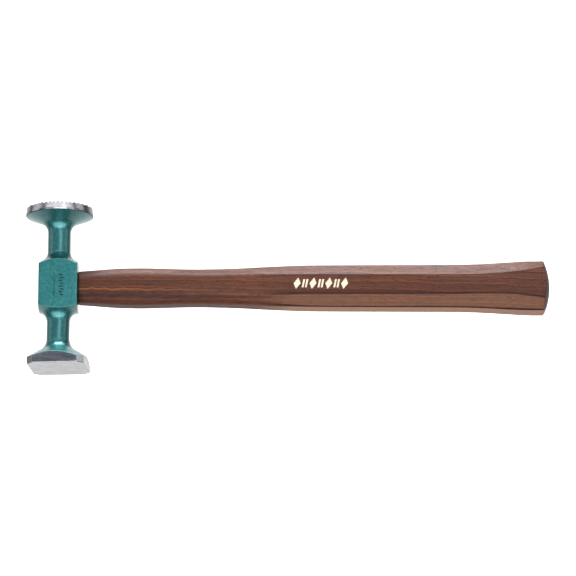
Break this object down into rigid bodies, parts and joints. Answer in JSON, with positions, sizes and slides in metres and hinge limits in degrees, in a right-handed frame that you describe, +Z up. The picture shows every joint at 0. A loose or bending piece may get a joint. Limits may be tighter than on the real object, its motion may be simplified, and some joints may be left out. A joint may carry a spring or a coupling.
{
  "type": "panel beating hammer",
  "caption": "Sheet-metal hammer with a slim steel head, a checkered round face, a plain square face, round necks and an octagonal wooden handle wedged in the eye.",
  "frame": {"origin": "under the middle of the bounding box, on the floor, with the hammer lying on its side", "axes": "+X from the head to the butt of the handle, +Y along the head towards the round face, +Z up out of the cheek"},
  "size_m": [0.3138, 0.0984, 0.0408],
  "materials": {
    "head_paint": "glossy teal enamel with a slight orange peel",
    "bare_steel": "ground and polished steel on the two working faces",
    "handle_wood": "reddish brown hickory, oiled, satin",
    "wedge_wood": "pale hardwood, end grain showing, unfinished",
    "wedge_steel": "plain steel, dull",
    "mark_print": "cream printing ink"
  },
  "bodies": {
    "root": {"hammer_head": "head_paint", "handle": "handle_wood", "wood_wedge": "wedge_wood", "steel_wedge_upper": "wedge_steel", "steel_wedge_lower": "wedge_steel"}
  },
  "joints": []
}
